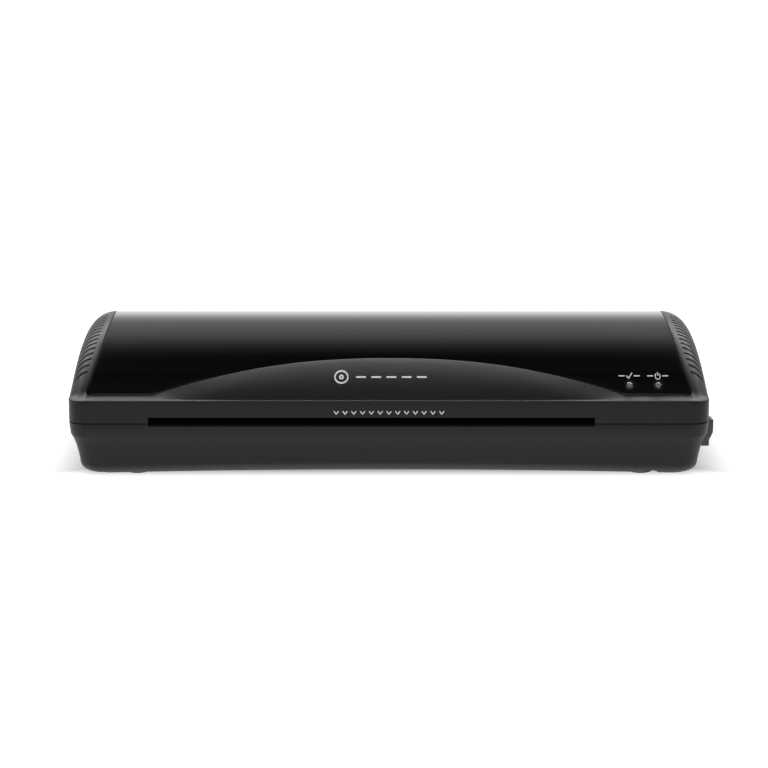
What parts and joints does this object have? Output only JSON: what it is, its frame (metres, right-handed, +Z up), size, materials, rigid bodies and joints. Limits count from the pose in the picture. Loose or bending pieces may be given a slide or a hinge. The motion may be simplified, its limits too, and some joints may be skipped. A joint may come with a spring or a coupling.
{
  "type": "pouch laminator",
  "caption": "Desktop A4 pouch laminator: gloss-covered satin case with a front feed slot, rear exit, heated roller pair, side power rocker and jam-release lever.",
  "frame": {"origin": "below the middle of the whole machine, on the plane the feet rest on", "axes": "+X to the right of a person facing the feed slot, -Y out of the feed slot at the front, +Z up"},
  "size_m": [0.3414, 0.146, 0.077],
  "materials": {
    "satin_case": "fine satin texture",
    "gloss_cover": "piano black",
    "clear_lens": "clear moulded dome",
    "rubber_feet": "matt",
    "silicone": "smooth red-brown silicone",
    "plated_steel": "zinc plated",
    "aluminium": "extruded",
    "mica": "mica sheet",
    "nylon": "natural nylon",
    "circuit_board": "solder mask",
    "red_insulation": "wire insulation"
  },
  "bodies": {
    "case": {"lower_shell": "satin_case", "upper_shell": "satin_case", "gloss_cover": "gloss_cover", "ready_lens": "clear_lens", "ready_bezel": "gloss_cover", "ready_led": "clear_lens", "power_lens": "clear_lens", "power_bezel": "gloss_cover", "power_led": "clear_lens", "indicator_board": "circuit_board", "foot_front_left": "rubber_feet", "foot_front_right": "rubber_feet", "foot_rear_left": "rubber_feet", "foot_rear_right": "rubber_feet", "case_screw_front_left": "plated_steel", "case_screw_front_right": "plated_steel", "case_screw_rear_left": "plated_steel", "case_screw_rear_right": "plated_steel", "gear_motor": "plated_steel", "motor_standoff_rear": "plated_steel", "motor_standoff_top": "plated_steel", "side_frame_left": "plated_steel", "side_frame_right": "plated_steel", "front_tie_bar": "plated_steel", "rear_tie_bar": "plated_steel", "lower_bushing_left": "nylon", "lower_bushing_right": "nylon", "pressure_spring_left": "plated_steel", "pressure_spring_right": "plated_steel", "spring_cap_left": "plated_steel", "spring_cap_right": "plated_steel", "lower_heat_shoe": "aluminium", "lower_heater": "mica", "entry_guide_lower": "satin_case", "entry_guide_upper": "satin_case", "exit_guide_lower": "satin_case", "exit_guide_upper": "satin_case", "switch_housing": "gloss_cover", "power_inlet": "satin_case", "control_board": "circuit_board", "board_relay": "red_insulation", "board_capacitor": "mica", "mains_lead": "red_insulation", "board_lead": "red_insulation"},
    "lower_roller": {"lower_roller_sleeve": "silicone", "lower_roller_shaft": "plated_steel", "lower_roller_gear": "nylon"},
    "roller_carriage": {"bearing_block_left": "nylon", "bearing_block_right": "nylon", "upper_heat_shoe": "aluminium", "upper_heater": "mica", "thermostat": "plated_steel", "thermal_fuse": "mica"},
    "upper_roller": {"upper_roller_sleeve": "silicone", "upper_roller_shaft": "plated_steel", "upper_roller_gear": "nylon"},
    "drive_pinion": {"motor_pinion": "nylon"},
    "release": {"release_shaft": "plated_steel", "release_lever": "satin_case"},
    "power_rocker": {"switch_rocker": "gloss_cover"}
  },
  "joints": [
    {"name": "lower_roller_spin", "type": "hinge", "parent": "case", "child": "lower_roller", "pos_m": [-0.01117, -0.004, 0.02365], "axis": [1, 0, 0], "continuous": true},
    {"name": "carriage_lift", "type": "slide", "parent": "case", "child": "roller_carriage", "axis": [0, 0, 1], "range_m": [0, 0.0012], "deforming": ["pressure_spring_left", "pressure_spring_right"]},
    {"name": "upper_roller_spin", "type": "hinge", "parent": "roller_carriage", "child": "upper_roller", "pos_m": [-0.01117, -0.004, 0.04395], "axis": [1, 0, 0], "continuous": true},
    {"name": "pinion_spin", "type": "hinge", "parent": "case", "child": "drive_pinion", "pos_m": [0.12303, 0.01224, 0.02365], "axis": [1, 0, 0], "continuous": true},
    {"name": "release_turn", "type": "hinge", "parent": "case", "child": "release", "pos_m": [-0.14997, 0.014, 0.0475], "axis": [1, 0, 0], "range_deg": [0, 20]},
    {"name": "rocker_tilt", "type": "hinge", "parent": "case", "child": "power_rocker", "pos_m": [0.16753, -0.053, 0.024], "axis": [0, 1, 0], "range_deg": [-24, 0]}
  ],
  "couplings": [
    {"joint": "upper_roller_spin", "follows": "lower_roller_spin", "ratio": -1},
    {"joint": "pinion_spin", "follows": "lower_roller_spin", "ratio": -1.6667},
    {"joint": "carriage_lift", "follows": "release_turn", "m_per_rad": 0.0033314}
  ]
}
